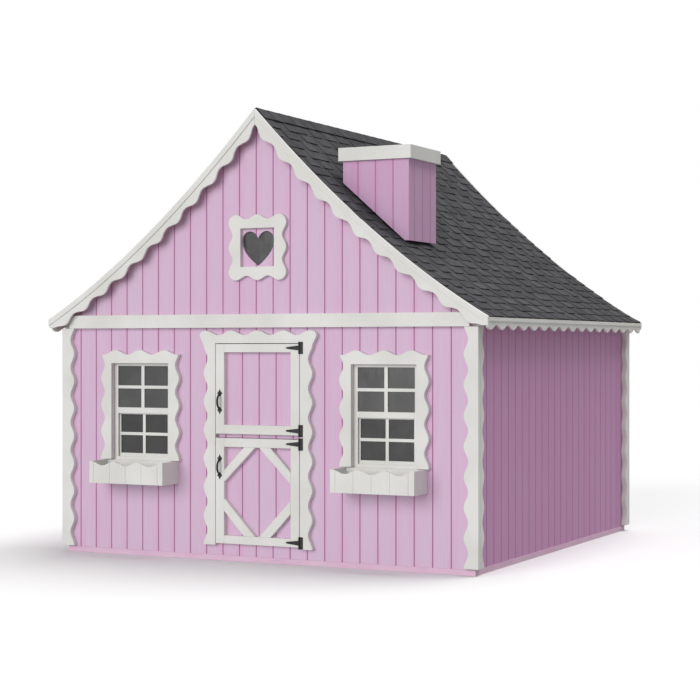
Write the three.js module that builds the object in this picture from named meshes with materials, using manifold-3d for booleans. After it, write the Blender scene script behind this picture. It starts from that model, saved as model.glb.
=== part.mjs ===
// A child's garden cottage: painted board siding on timber frames, scalloped white trim,
// a bell-cast shingle roof with a dummy chimney, a two-leaf (Dutch) door, two single-hung
// windows with flower boxes, and a heart-shaped gable light.
//
// Units are millimetres. +Z is up, -Y is the front, the origin is the middle of the
// footprint on the ground.
import * as THREE from 'three';
import { mergeVertices } from 'three/addons/utils/BufferGeometryUtils.js';
import Module from 'manifold-3d';

const wasm = await Module();
wasm.setup();

// ---------------------------------------------------------------- driving dimensions
const inch = 25.4;
const GAP = 0.3;                         // clearance between touching pieces

// walls
const HALF_WIDTH = 48.05 * inch;         // siding face, left and right
const HALF_DEPTH = 48 * inch;            // siding face, front and back
const SIDING = 12;                       // siding thickness
const GROOVE_PITCH = 4 * inch;
const GROOVE_OFFSET = -1 * inch;         // first groove from the centre line
const GROOVE_TOP = 7;
const GROOVE_FLOOR = 3;
const GROOVE_DEPTH = 3.5;
const STUD = 38;                         // timber is 38 x 63.5
const STUD_DEEP = 63.5;
const BAND_LOW = 48.85 * inch;           // belt board between wall and gable
const BAND_HIGH = 51.65 * inch;
const WALL_TOP = 50.25 * inch;           // joint of wall siding and gable siding
const PLATE_TOP = 1330;                  // side wall frames carry the roof here

// floor
const SILL_HIGH = 1.1 * inch;
const SILL_PROUD = 4;
const SILL_WIDE = 38;
const JOIST = 63.5;
const DECKING = 18.3;
const FLOOR_TOP = JOIST + GAP + DECKING;

// roof: height of the finished roof over distance x from the ridge
const RIDGE_TOP = 94.4 * inch;
const ROOF_PITCH = 1.095;
const ROOF_FLARE = 0.0001957;            // per mm, flattens the slope towards the eave
const EAVE_X = 51.8 * inch;
const RAKE_Y = 50.7 * inch;              // front face of the rake boards
const RAKE_THICK = 0.8 * inch;
const FASCIA_THICK = 0.75 * inch;
const SHINGLE = 9;
const SHEATHING = 12;
const RAFTER = 64;

// trim
const TRIM = 1.15 * inch;
const WAVE = 6 * inch;
const WAVE_DEPTH = 0.95 * inch;
const WAVE_STEPS = 5;                    // straight pieces per scallop
const CORNER_X = HALF_WIDTH + TRIM;

// windows
const WINDOW_X = 28.9 * inch;
const WINDOW_SHIFT = -0.18 * inch;       // both windows sit a little off the mirrored places
const WINDOW_HALF = 7.2 * inch;
const WINDOW_LOW = 20.2 * inch;
const WINDOW_HIGH = 41.3 * inch;
const SASH_TRAVEL_WIDTH = 6.75 * inch;   // half width of the channel the sash runs in
const BOX_HALF = 9.2 * inch;
const BOX_OUT = 6.55 * inch;
const BOX_LOW = 15.75 * inch;
const BOX_HIGH = 20.45 * inch;
const BOX_WALL = 15;

// door
const DOOR_X = -0.2 * inch;
const LEAF_HALF = 9.9 * inch;
const LEAF_LOW = 3.7 * inch;
const LEAF_HIGH = 45.45 * inch;
const LEAF_SPLIT = 25.78 * inch;
const UPPER_RAIL_LOW = 26.65 * inch;
const LEAF_BOARD = 2 * inch;
const DOOR_CLEAR = 3.2;
const PIN_RADIUS = 2.2;
const KNUCKLE_RADIUS = 4.2;
const HINGE_PLATE = 2.5;
const HINGE_AXIS_X = LEAF_HALF + DOOR_CLEAR / 2;
const HINGE_AXIS_Y = -TRIM - GAP - KNUCKLE_RADIUS;

// chimney
const CHIMNEY = { x0: 15.2 * inch, x1: 30.2 * inch, y0: -40 * inch, y1: -26.1 * inch };
const CHIMNEY_TOP = 85.6 * inch;
const CAP_LOW = 83.4 * inch;
const CAP_HIGH = 86.15 * inch;
const CAP_OUT = 0.75 * inch;
const CAP_BOARD = 17;

// heart light
const HEART_X = -0.33 * inch;
const HEART_Z = 65.5 * inch;

// ---------------------------------------------------------------- finishes
function finish(color, roughness, metalness) {
  return () => new THREE.MeshStandardMaterial({ color, roughness, metalness });
}
const pinkPaint = finish(0xcfafcb, 0.6, 0);
const whitePaint = finish(0xdedddb, 0.55, 0);
const timber = finish(0xc9a878, 0.8, 0);
const plywood = finish(0xb89a6c, 0.85, 0);
const shingleGrey = finish(0x464648, 0.95, 0);
const paneGrey = finish(0x4b4b4d, 0.15, 0);
const blackIron = finish(0x151515, 0.5, 0.6);

// ---------------------------------------------------------------- solids
// Planes: 'front' outlines are (x, z), 'side' outlines are (y, z), 'flat' outlines are (x, y).
const PLANES = {
  front: [new THREE.Vector3(1, 0, 0), new THREE.Vector3(0, 0, 1), new THREE.Vector3(0, -1, 0)],
  side: [new THREE.Vector3(0, 1, 0), new THREE.Vector3(0, 0, 1), new THREE.Vector3(1, 0, 0)],
  flat: [new THREE.Vector3(1, 0, 0), new THREE.Vector3(0, 1, 0), new THREE.Vector3(0, 0, 1)],
};

function pathFrom(points, Kind) {
  return new Kind(points.map(([u, v]) => new THREE.Vector2(u, v)));
}

// A slab: the outline on a plane, filling the span from low to high along X, Y or Z, with
// each hole cut right through it.
function slab(plane, outline, low, high, holes = []) {
  const shape = pathFrom(outline, THREE.Shape);
  const geometry = new THREE.ExtrudeGeometry(shape, { depth: high - low, bevelEnabled: false });
  const [u, v, n] = PLANES[plane];
  geometry.applyMatrix4(new THREE.Matrix4().makeBasis(u, v, n));
  const start = plane === 'front' ? -high : low;
  geometry.translate(n.x * start, n.y * start, n.z * start);
  if (holes.length === 0) {
    return geometry;
  }
  return cut(geometry, ...holes.map((hole) => slab(plane, hole, low - 1, high + 1)));
}

function rect(u0, u1, v0, v1) {
  return [[u0, v0], [u1, v0], [u1, v1], [u0, v1]];
}

function block(x0, x1, y0, y1, z0, z1) {
  return slab('flat', rect(x0, x1, y0, y1), z0, z1);
}

function toSolid(geometry) {
  const bare = geometry.clone();
  bare.deleteAttribute('normal');
  bare.deleteAttribute('uv');
  const merged = mergeVertices(bare, 1e-3);
  return new wasm.Manifold(new wasm.Mesh({
    numProp: 3,
    vertProperties: new Float32Array(merged.attributes.position.array),
    triVerts: new Uint32Array(merged.index.array),
  }));
}

function toGeometry(solid) {
  const mesh = solid.getMesh();
  const geometry = new THREE.BufferGeometry();
  geometry.setAttribute('position', new THREE.BufferAttribute(new Float32Array(mesh.vertProperties), 3));
  geometry.setIndex(new THREE.BufferAttribute(new Uint32Array(mesh.triVerts), 1));
  geometry.computeVertexNormals();
  return geometry;
}

function join(...geometries) {
  return toGeometry(geometries.map(toSolid).reduce((a, b) => a.add(b)));
}

function cut(geometry, ...tools) {
  return toGeometry(tools.map(toSolid).reduce((a, b) => a.subtract(b), toSolid(geometry)));
}

function within(geometry, mask) {
  return toGeometry(toSolid(geometry).intersect(toSolid(mask)));
}

// ---------------------------------------------------------------- assembly
const playhouse = new THREE.Group();

function place(parent, name, geometry, material) {
  const mesh = new THREE.Mesh(geometry, material());
  mesh.name = name;
  parent.add(mesh);
  return mesh;
}

function groupAt(x, y, z) {
  const group = new THREE.Group();
  group.position.set(x, y, z);
  playhouse.add(group);
  return group;
}

// ---------------------------------------------------------------- outlines
// Distance of a scalloped edge from its crest line, at position s with a crest at s = crest.
function scallop(s, crest, pitch = WAVE) {
  return WAVE_DEPTH * (1 - Math.cos((2 * Math.PI * (s - crest)) / pitch)) / 2;
}

function steps(from, to, pitch = WAVE) {
  const count = Math.max(2, Math.round((Math.abs(to - from) / pitch) * WAVE_STEPS));
  return Array.from({ length: count + 1 }, (_, i) => from + ((to - from) * i) / count);
}

// Roof curve, and the height of the surface that lies a depth below it, at x from the ridge.
function roofTop(x) {
  return RIDGE_TOP - ROOF_PITCH * x + ROOF_FLARE * x * x;
}

function roofTurn(x) {
  return Math.atan(ROOF_PITCH - 2 * ROOF_FLARE * x);
}

function roofUnder(x, depth) {
  let foot = x;
  for (let i = 0; i < 20; i += 1) {
    foot = x + depth * Math.sin(roofTurn(foot));
  }
  return roofTop(foot) - depth * Math.cos(roofTurn(foot));
}

// Points on that surface from x0 to x1, at steps that every layer of the roof shares.
const ROOF_STEP = EAVE_X / 20;
function roofLine(depth, x0, x1) {
  const stations = [x0];
  for (let x = ROOF_STEP; x < x1 - 1; x += ROOF_STEP) {
    if (x > x0 + 1) {
      stations.push(x);
    }
  }
  return [...stations, x1].map((x) => [x, roofUnder(x, depth)]);
}

function mirrored(points) {
  return points.map(([u, v]) => [-u, v]).reverse();
}

// Both slopes at one depth, from the left limit over the ridge to the right limit.
function roofSpan(depth, x1) {
  const right = roofLine(depth, 0, x1);
  return [...mirrored(right), ...right.slice(1)];
}

// ---------------------------------------------------------------- floor and base
function ring(outerX, outerY, wide) {
  const hole = rect(-outerX + wide, outerX - wide, -outerY + wide, outerY - wide);
  return { outer: rect(-outerX, outerX, -outerY, outerY), hole };
}

const sill = ring(HALF_WIDTH + SILL_PROUD, HALF_DEPTH + SILL_PROUD, SILL_WIDE + SILL_PROUD);
place(playhouse, 'base_sill', slab('flat', sill.outer, 0, SILL_HIGH, [sill.hole]), pinkPaint);

const floorX = HALF_WIDTH - SILL_WIDE - GAP;
const floorY = HALF_DEPTH - SILL_WIDE - GAP;
const JOIST_SPACING = (2 * floorX - STUD) / 4;
const joistBays = [0, 1, 2, 3].map((i) => {
  const left = -floorX + STUD + i * JOIST_SPACING;
  return rect(left, left + JOIST_SPACING - STUD, -floorY + STUD, floorY - STUD);
});
const floorOutline = rect(-floorX, floorX, -floorY, floorY);
place(playhouse, 'floor_frame', slab('flat', floorOutline, 0, JOIST, joistBays), timber);
const deckX = HALF_WIDTH - SIDING - GAP;
const deckY = HALF_DEPTH - SIDING - GAP;
const floorDeck = block(-deckX, deckX, -deckY, deckY, JOIST + GAP, FLOOR_TOP);
place(playhouse, 'floor_deck', floorDeck, plywood);

// ---------------------------------------------------------------- wall frames
const frameOuterX = HALF_WIDTH - SIDING - GAP;
const frameOuterY = HALF_DEPTH - SIDING - GAP;
const frameLow = FLOOR_TOP + GAP;
const bayLow = frameLow + STUD;
const bayHigh = WALL_TOP - STUD;
const sheathingUnder = SHINGLE + GAP + SHEATHING;
const ROUGH_DOOR = LEAF_HALF + 10;
const ROUGH_DOOR_HIGH = 46 * inch;
const ROUGH_WINDOW = WINDOW_HALF + 8;
const GABLE_STUD_X = 170;

// The gable end's outline, notched from below for the doorway when there is one.
function endFrameOutline(hasDoor) {
  const roof = roofSpan(sheathingUnder + GAP, frameOuterX).reverse();
  const start = [[-frameOuterX, frameLow]];
  if (hasDoor) {
    start.push([DOOR_X - ROUGH_DOOR, frameLow], [DOOR_X - ROUGH_DOOR, ROUGH_DOOR_HIGH]);
    start.push([DOOR_X + ROUGH_DOOR, ROUGH_DOOR_HIGH], [DOOR_X + ROUGH_DOOR, frameLow]);
  }
  return [...start, [frameOuterX, frameLow], ...roof];
}

function gableBays() {
  const rafterUnder = sheathingUnder + RAFTER;
  const low = WALL_TOP;
  const middle = [
    [-GABLE_STUD_X, low],
    [GABLE_STUD_X, low],
    [GABLE_STUD_X, roofUnder(GABLE_STUD_X, rafterUnder)],
    [0, roofUnder(0, rafterUnder)],
    [-GABLE_STUD_X, roofUnder(GABLE_STUD_X, rafterUnder)],
  ];
  const x0 = GABLE_STUD_X + STUD;
  const x1 = 900;
  const slope = roofLine(rafterUnder, x0, x1).reverse();
  const side = [[x0, low], [x1, low], ...slope];
  return [middle, side, mirrored(side)];
}

function frontBays() {
  const windowLeft = WINDOW_X - ROUGH_WINDOW;
  const windowRight = WINDOW_X + ROUGH_WINDOW;
  const doorStud = ROUGH_DOOR + Math.abs(DOOR_X) + STUD;
  const right = [
    rect(doorStud, windowLeft - STUD, bayLow, bayHigh),
    rect(windowLeft, windowRight, bayLow, WINDOW_LOW - STUD),
    rect(windowLeft, windowRight, WINDOW_LOW - 3, WINDOW_HIGH + 3),
    rect(windowLeft, windowRight, WINDOW_HIGH + 3 + STUD, bayHigh),
    rect(windowRight + STUD, frameOuterX - STUD, bayLow, bayHigh),
  ];
  return [...right, ...right.map(mirrored)];
}

// Equal bays between the end studs of a frame that reaches from -half to half.
function evenBays(half, count, low, high) {
  const pitch = (2 * half - STUD) / count;
  return Array.from({ length: count }, (_, i) => {
    const left = -half + STUD + i * pitch;
    return rect(left, left + pitch - STUD, low, high);
  });
}

const frontFrame = slab('front', endFrameOutline(true), -frameOuterY, -frameOuterY + STUD_DEEP,
  [...frontBays(), ...gableBays()]);
place(playhouse, 'wall_frame_front', frontFrame, timber);
const backFrame = slab('front', endFrameOutline(false), frameOuterY - STUD_DEEP, frameOuterY,
  [...evenBays(frameOuterX, 3, bayLow, bayHigh), ...gableBays()]);
place(playhouse, 'wall_frame_back', backFrame, timber);

const sideFrameHalf = frameOuterY - STUD_DEEP - GAP;
const sideBays = evenBays(sideFrameHalf, 2, bayLow, PLATE_TOP - STUD);
for (const [name, x0] of [['left', -frameOuterX], ['right', frameOuterX - STUD_DEEP]]) {
  const outline = rect(-sideFrameHalf, sideFrameHalf, frameLow, PLATE_TOP);
  const frame = slab('side', outline, x0, x0 + STUD_DEEP, sideBays);
  place(playhouse, `wall_frame_${name}`, frame, timber);
}

// ---------------------------------------------------------------- siding
// Cross-section of a grooved sheet along u: the grooved face is at v = 0, the back at v = SIDING.
function groovedSection(u0, u1, offset) {
  const face = [[u0, 0]];
  const first = Math.ceil((u0 + GROOVE_TOP - offset) / GROOVE_PITCH);
  const last = Math.floor((u1 - GROOVE_TOP - offset) / GROOVE_PITCH);
  for (let k = first; k <= last; k += 1) {
    const u = offset + k * GROOVE_PITCH;
    face.push([u - GROOVE_TOP / 2, 0], [u - GROOVE_FLOOR / 2, GROOVE_DEPTH]);
    face.push([u + GROOVE_FLOOR / 2, GROOVE_DEPTH], [u + GROOVE_TOP / 2, 0]);
  }
  face.push([u1, 0], [u1, SIDING], [u0, SIDING]);
  return face;
}

// A grooved sheet standing in its own frame: face towards -Y, u along +X.
function groovedSheet(u0, u1, low, high, offset = GROOVE_OFFSET) {
  return slab('flat', groovedSection(u0, u1, offset), low, high);
}

const sidingLow = SILL_HIGH + GAP;
const endSiding = [-HALF_WIDTH, HALF_WIDTH];
const DEEP_CUT = 60;

function opening(x0, x1, z0, z1) {
  return block(x0, x1, -DEEP_CUT, DEEP_CUT, z0, z1);
}

const frontGroup = groupAt(0, -HALF_DEPTH, 0);
const backGroup = groupAt(0, HALF_DEPTH, 0);
backGroup.rotation.z = Math.PI;

const doorHole = opening(DOOR_X - HINGE_AXIS_X - DOOR_CLEAR / 2, DOOR_X + HINGE_AXIS_X + DOOR_CLEAR / 2,
  LEAF_LOW - DOOR_CLEAR, LEAF_HIGH + DOOR_CLEAR);
const windowHoles = [-WINDOW_X, WINDOW_X].map((x) => opening(
  x + WINDOW_SHIFT - WINDOW_HALF, x + WINDOW_SHIFT + WINDOW_HALF, WINDOW_LOW, WINDOW_HIGH));
const frontSheet = groovedSheet(...endSiding, sidingLow, WALL_TOP);
place(frontGroup, 'siding_front', cut(frontSheet, doorHole, ...windowHoles), pinkPaint);
place(backGroup, 'siding_back', groovedSheet(...endSiding, sidingLow, WALL_TOP), pinkPaint);

// heart outline about its own centre: a point below, two lobes above
const HEART_POINT = -3.82 * inch;
const HEART_NOTCH = 1.87 * inch;
const HEART_TOP = 3.4 * inch;
const HEART_HALF = 3.8 * inch;

function heartOutline() {
  const shape = new THREE.Path();
  shape.moveTo(0, HEART_POINT);
  shape.bezierCurveTo(1.5 * inch, -2.75 * inch, HEART_HALF, -0.9 * inch, HEART_HALF, 1.4 * inch);
  shape.bezierCurveTo(HEART_HALF, 2.7 * inch, 2.85 * inch, HEART_TOP, 2.0 * inch, HEART_TOP);
  shape.bezierCurveTo(1.1 * inch, HEART_TOP, 0.25 * inch, 2.8 * inch, 0, HEART_NOTCH);
  const right = shape.getPoints(6).map((p) => [p.x, p.y]);
  return [...right, ...mirrored(right).slice(1, -1)];
}

const gableLow = WALL_TOP + GAP;
const gableUnder = sheathingUnder + GAP;
const gableEdge = roofSpan(gableUnder, HALF_WIDTH - GAP).reverse();
const gableShape = [[-HALF_WIDTH + GAP, gableLow], [HALF_WIDTH - GAP, gableLow], ...gableEdge];
const gableMask = slab('front', gableShape, -1, SIDING + 1);
const gableSheet = within(groovedSheet(...endSiding, gableLow, RIDGE_TOP), gableMask);
const heartHole = slab('front', heartOutline(), -1, SIDING + 1);
heartHole.translate(HEART_X - 0.22 * inch, 0, HEART_Z);
place(frontGroup, 'gable_siding_front', cut(gableSheet, heartHole), pinkPaint);
place(backGroup, 'gable_siding_back', gableSheet.clone(), pinkPaint);

const sideSheetTop = roofUnder(HALF_WIDTH, sheathingUnder) - 4;
const sideSheetHalf = HALF_DEPTH - SIDING - GAP;
const sideSheet = groovedSheet(-sideSheetHalf, sideSheetHalf, sidingLow, sideSheetTop, GROOVE_PITCH / 2);
for (const [name, side] of [['right', 1], ['left', -1]]) {
  const group = groupAt(side * HALF_WIDTH, 0, 0);
  group.rotation.z = side * Math.PI / 2;
  place(group, `siding_${name}`, sideSheet.clone(), pinkPaint);
}

// ---------------------------------------------------------------- roof
const ridgeBeamTop = roofUnder(STUD / 2, sheathingUnder + GAP) - GAP;
const beamHalf = frameOuterY - STUD_DEEP - GAP;
const RIDGE_BEAM = 89;
const ridgeBeam = block(-STUD / 2, STUD / 2, -beamHalf, beamHalf, ridgeBeamTop - RIDGE_BEAM, ridgeBeamTop);
place(playhouse, 'ridge_beam', ridgeBeam, timber);

const shellHalfY = RAKE_Y - RAKE_THICK - GAP;
const deckEdge = EAVE_X - FASCIA_THICK - GAP;

// One slope's layer between two depths, from the ridge to x1.
function roofLayer(top, under, x1) {
  const upper = roofLine(top, GAP / 2, x1);
  const lower = roofLine(under, GAP / 2, x1);
  return slab('front', [...lower, ...upper.reverse()], -shellHalfY, shellHalfY);
}

function onSlope(side, geometry) {
  if (side === 'left') {
    geometry.rotateZ(Math.PI);
  }
  return geometry;
}

for (const side of ['left', 'right']) {
  const sheathing = roofLayer(SHINGLE + GAP, sheathingUnder, deckEdge);
  place(playhouse, `roof_sheathing_${side}`, onSlope(side, sheathing), plywood);
  place(playhouse, `shingles_${side}`, onSlope(side, roofLayer(0, SHINGLE, EAVE_X)), shingleGrey);
}

// rake boards: a scalloped board behind a narrow plain strip
const RAKE_TOP = 4;
const RAKE_CREST = 3.4 * inch;
const RAKE_STRIP = 1.35 * inch;
const RAKE_STRIP_THICK = 6;
const RAKE_WAVE = 5.88 * inch;
const RAKE_FIRST_CREST = 6 * inch;
const RAKE_LOW = 49 * inch;              // the eave ends are cut level at this height

// Length along the roof curve from the ridge to x.
function roofRun(x) {
  const count = 60;
  let run = 0;
  for (let i = 0; i < count; i += 1) {
    const a = (x * i) / count;
    const b = (x * (i + 1)) / count;
    run += Math.hypot(b - a, roofTop(b) - roofTop(a));
  }
  return run;
}

function rakeDepth(x) {
  const run = roofRun(x);
  const straight = run < RAKE_FIRST_CREST - RAKE_WAVE / 2;
  return RAKE_CREST - (straight ? WAVE_DEPTH : scallop(run, RAKE_FIRST_CREST, RAKE_WAVE));
}

// Point of the scalloped edge, square to the roof curve at x.
function rakePoint(x) {
  const turn = roofTurn(x);
  const depth = rakeDepth(x);
  return [x - depth * Math.sin(turn), roofTop(x) - depth * Math.cos(turn)];
}

// Where the scalloped edge crosses the upright line at x.
function rakeCrossing(x) {
  let foot = x;
  for (let i = 0; i < 30; i += 1) {
    foot += x - rakePoint(foot)[0];
  }
  return [x, Math.max(rakePoint(foot)[1], RAKE_LOW)];
}

function rakeOutline() {
  const low = GAP / 2;
  const high = EAVE_X - GAP;
  const top = roofLine(RAKE_TOP, low, high);
  const reach = EAVE_X + RAKE_CREST;
  const count = Math.round((roofRun(reach) / RAKE_WAVE) * WAVE_STEPS);
  const inner = [rakeCrossing(low)];
  for (let i = 0; i <= count; i += 1) {
    const point = rakePoint((reach * i) / count);
    if (point[0] > low + 5 && point[0] < high - 5) {
      inner.push([point[0], Math.max(point[1], RAKE_LOW)]);
    }
  }
  inner.push(rakeCrossing(high));
  return [...inner, ...top.reverse()];
}

function rakeBoard() {
  const strip = [
    ...roofLine(RAKE_STRIP, GAP / 2, EAVE_X - GAP),
    ...roofLine(RAKE_TOP, GAP / 2, EAVE_X - GAP).reverse(),
  ];
  const board = slab('front', rakeOutline(), -RAKE_Y + RAKE_STRIP_THICK, -RAKE_Y + RAKE_THICK);
  return join(board, slab('front', strip, -RAKE_Y, -RAKE_Y + RAKE_STRIP_THICK + 1));
}

// The rake board of the front right slope, mirrored to the other three places.
function mirroredCopy(geometry, flipX, flipY) {
  const copy = geometry.clone();
  copy.scale(flipX, flipY, 1);
  if (flipX * flipY < 0) {
    const index = copy.index.array;
    for (let i = 0; i < index.length; i += 3) {
      [index[i], index[i + 1]] = [index[i + 1], index[i]];
    }
  }
  copy.computeVertexNormals();
  return copy;
}

const rake = rakeBoard();
for (const [end, flipY] of [['front', 1], ['back', -1]]) {
  for (const [side, flipX] of [['left', -1], ['right', 1]]) {
    place(playhouse, `rake_board_${end}_${side}`, mirroredCopy(rake, flipX, flipY), whitePaint);
  }
}

// eave fascias: a scalloped board behind a narrow plain strip
const FASCIA_TOP = roofUnder(EAVE_X, SHINGLE) - GAP;
const FASCIA_STRIP_LOW = 49.85 * inch;
const FASCIA_CREST = 48.15 * inch;
const FASCIA_WAVE = 6.08 * inch;
const FASCIA_FIRST_CREST = -HALF_DEPTH - 0.28 * inch;
const fasciaHalf = RAKE_Y - RAKE_THICK - GAP;
const fasciaEdge = steps(-fasciaHalf, fasciaHalf, FASCIA_WAVE)
  .map((y) => [y, FASCIA_CREST + scallop(y, FASCIA_FIRST_CREST, FASCIA_WAVE)]);
const fasciaOutline = [...fasciaEdge, [fasciaHalf, FASCIA_TOP], [-fasciaHalf, FASCIA_TOP]];
const fasciaIn = EAVE_X - FASCIA_THICK;
const fasciaStrip = rect(-fasciaHalf, fasciaHalf, FASCIA_STRIP_LOW, FASCIA_TOP);
const fascia = join(
  slab('side', fasciaOutline, fasciaIn, EAVE_X - RAKE_STRIP_THICK),
  slab('side', fasciaStrip, EAVE_X - RAKE_STRIP_THICK - 1, EAVE_X),
);
place(playhouse, 'eave_fascia_right', fascia, whitePaint);
place(playhouse, 'eave_fascia_left', mirroredCopy(fascia, -1, 1), whitePaint);

// ---------------------------------------------------------------- belt board and corner trims
const BAND_END = CORNER_X - 1.9 * inch;  // the belt board stops short of the corners
place(frontGroup, 'front_band', slab('front', rect(-BAND_END, BAND_END, BAND_LOW, BAND_HIGH), -TRIM, -GAP),
  whitePaint);

const CORNER_LOW = 1.35 * inch;
const CORNER_WIDE = 3.15 * inch;
const CORNER_SIDE_TOP = 51.2 * inch;
const cornerHigh = BAND_LOW - GAP;

// Front right corner, in the building's frame.
function cornerTrim() {
  const edge = steps(CORNER_LOW, cornerHigh).map((z) => [CORNER_WIDE - scallop(z, CORNER_LOW), z]);
  const waves = edge.map(([w, z]) => [CORNER_X - w, z]).reverse();
  const face = [[CORNER_X, CORNER_LOW], [CORNER_X, cornerHigh], ...waves];
  const front = slab('front', face, -HALF_DEPTH - TRIM, -HALF_DEPTH - GAP);
  const outerY = -HALF_DEPTH - TRIM;
  const lastWidth = edge[edge.length - 1][0];
  const sideFace = [
    [outerY, CORNER_LOW],
    ...edge.map(([w, z]) => [outerY + w, z]),
    [outerY + lastWidth, CORNER_SIDE_TOP],
    [-HALF_DEPTH + GAP, CORNER_SIDE_TOP],
    [-HALF_DEPTH + GAP, cornerHigh],
    [outerY, cornerHigh],
  ];
  return join(front, slab('side', sideFace, HALF_WIDTH + GAP, CORNER_X));
}

const corner = cornerTrim();
for (const [end, flipY] of [['front', 1], ['back', -1]]) {
  for (const [side, flipX] of [['left', -1], ['right', 1]]) {
    place(playhouse, `corner_trim_${end}_${side}`, mirroredCopy(corner, flipX, flipY), whitePaint);
  }
}

// ---------------------------------------------------------------- chimney
const CHIMNEY_FLAT = 0.9 * inch;         // level part of the bottom edge at the low side

function chimneyBody() {
  const { x0, x1, y0, y1 } = CHIMNEY;
  const width = x1 - x0;
  const groove = 3.45 * inch;
  const front = groovedSection(0, width, groove).slice(0, -2).map(([u, v]) => [x0 + u, y0 + v]);
  const back = groovedSection(0, width, groove).slice(0, -2).map(([u, v]) => [x0 + u, y1 - v]);
  const side = groovedSection(0, y1 - y0, 2.9 * inch).slice(1, -3);
  const right = side.map(([u, v]) => [x1 - v, y0 + u]);
  const left = side.map(([u, v]) => [x0 + v, y0 + u]);
  const walls = [...front, ...right, ...back.reverse(), ...left.reverse()];
  const hole = rect(x0 + SIDING, x1 - SIDING, y0 + SIDING, y1 - SIDING);
  const flatX = x1 - CHIMNEY_FLAT;
  const flatZ = roofTop(flatX) + GAP * 4;
  const below = [[x0 - 50, flatZ - 900], [x1 + 50, flatZ - 900], [x1 + 50, flatZ], [flatX, flatZ]];
  below.push([x0, roofTop(x0) + GAP * 4], [x0 - 50, roofTop(x0) + GAP * 4 + 50 * ROOF_PITCH]);
  const tube = slab('flat', walls, flatZ - 10, CHIMNEY_TOP, [hole]);
  return cut(tube, slab('front', below, y0 - 20, y1 + 20));
}
place(playhouse, 'chimney_body', chimneyBody(), pinkPaint);

function chimneyCap() {
  const { x0, x1, y0, y1 } = CHIMNEY;
  const outer = block(x0 - CAP_OUT, x1 + CAP_OUT, y0 - CAP_OUT, y1 + CAP_OUT, CAP_LOW, CAP_HIGH);
  const room = CAP_OUT - CAP_BOARD;
  return cut(outer, block(x0 - room, x1 + room, y0 - room, y1 + room, CAP_LOW - 10, CHIMNEY_TOP + GAP));
}
place(playhouse, 'chimney_cap', chimneyCap(), whitePaint);

// ---------------------------------------------------------------- windows
// Window frame's own coordinates: x from its middle, y inwards from the siding face, z from the ground.
const FRAME_FACE = 0.2 * inch;
const UPPER_BACK = 0.45 * inch;
const LOWER_FACE = 0.75 * inch;
const LOWER_BACK = 1.0 * inch;
const STOP_FACE = 1.3 * inch;
const STOP_BACK = 1.6 * inch;
const PANE = 2;
const UPPER_PANES = { x0: 0.37 * inch, x1: 6.35 * inch, rows: [[31.75, 35.85], [36.5, 40.73]] };
const LOWER_PANES = { x0: 0.33 * inch, x1: 5.95 * inch, rows: [[21.9, 25.78], [26.4, 30.28]] };
const LOWER_SASH = { half: 6.62 * inch, low: 20.95 * inch, high: 31.5 * inch };

function paneHoles({ x0, x1, rows }) {
  return rows.flatMap(([low, high]) => [
    rect(x0, x1, low * inch, high * inch),
    rect(-x1, -x0, low * inch, high * inch),
  ]);
}

// The scalloped casing: header and two legs in one, open at the bottom.
const CASING_CREST = 9.9 * inch;
const CASING_LOW = BOX_HIGH + 3;
const CASING_TOP_CREST = 44.13 * inch;
const CASING_SIDE_CREST = 38.1 * inch;
const CASING_SIDE_WAVE = 5.75 * inch;

// Outline of scalloped trim: the half from the inner bottom corner round to the middle of the top,
// with the points of its ear between leg and header, and the same mirrored.
function archTrim(spec) {
  const { inner, low, openTop, side, top, sideCrest, sideWave, topWave } = spec;
  const { legTop, ear, acrossFrom } = spec;
  const legs = steps(low, legTop, sideWave).map((z) => [side - scallop(z, sideCrest, sideWave), z]);
  const across = steps(acrossFrom, 0, topWave).map((x) => [x, top - scallop(x, 0, topWave)]);
  const outer = [...legs, ...ear, ...across];
  const half = [[inner, low], ...outer.slice(0, -1)];
  const left = mirrored(half);
  return [...half, [0, top], ...left, [-inner, openTop], [inner, openTop]];
}

const casingOutline = archTrim({
  inner: WINDOW_HALF,
  low: CASING_LOW,
  openTop: WINDOW_HIGH,
  side: CASING_CREST,
  top: CASING_TOP_CREST,
  sideCrest: CASING_SIDE_CREST,
  sideWave: CASING_SIDE_WAVE,
  topWave: 6.2 * inch,
  legTop: CASING_TOP_CREST - WAVE_DEPTH - 0.3 * inch,
  ear: [],
  acrossFrom: CASING_CREST - 0.12 * inch,
});

function windowFrame() {
  const outer = rect(-WINDOW_HALF + GAP, WINDOW_HALF - GAP, WINDOW_LOW + GAP, WINDOW_HIGH - GAP);
  const lowerHole = rect(-6.3 * inch, 6.3 * inch, 21.2 * inch, 30.5 * inch);
  const face = slab('front', outer, FRAME_FACE, UPPER_BACK, [...paneHoles(UPPER_PANES), lowerHole]);
  const channel = rect(-SASH_TRAVEL_WIDTH, SASH_TRAVEL_WIDTH, 20.9 * inch, 41.05 * inch);
  const jambs = slab('front', outer, UPPER_BACK - 1, STOP_FACE + 1, [channel]);
  const stopHole = rect(-6.3 * inch, 6.3 * inch, 21.2 * inch, 40.75 * inch);
  const stops = slab('front', outer, STOP_FACE, STOP_BACK, [stopHole]);
  return join(face, jambs, stops);
}

function lowerSash() {
  const { half, low, high } = LOWER_SASH;
  return slab('front', rect(-half, half, low, high), LOWER_FACE, LOWER_BACK, paneHoles(LOWER_PANES));
}

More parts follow.
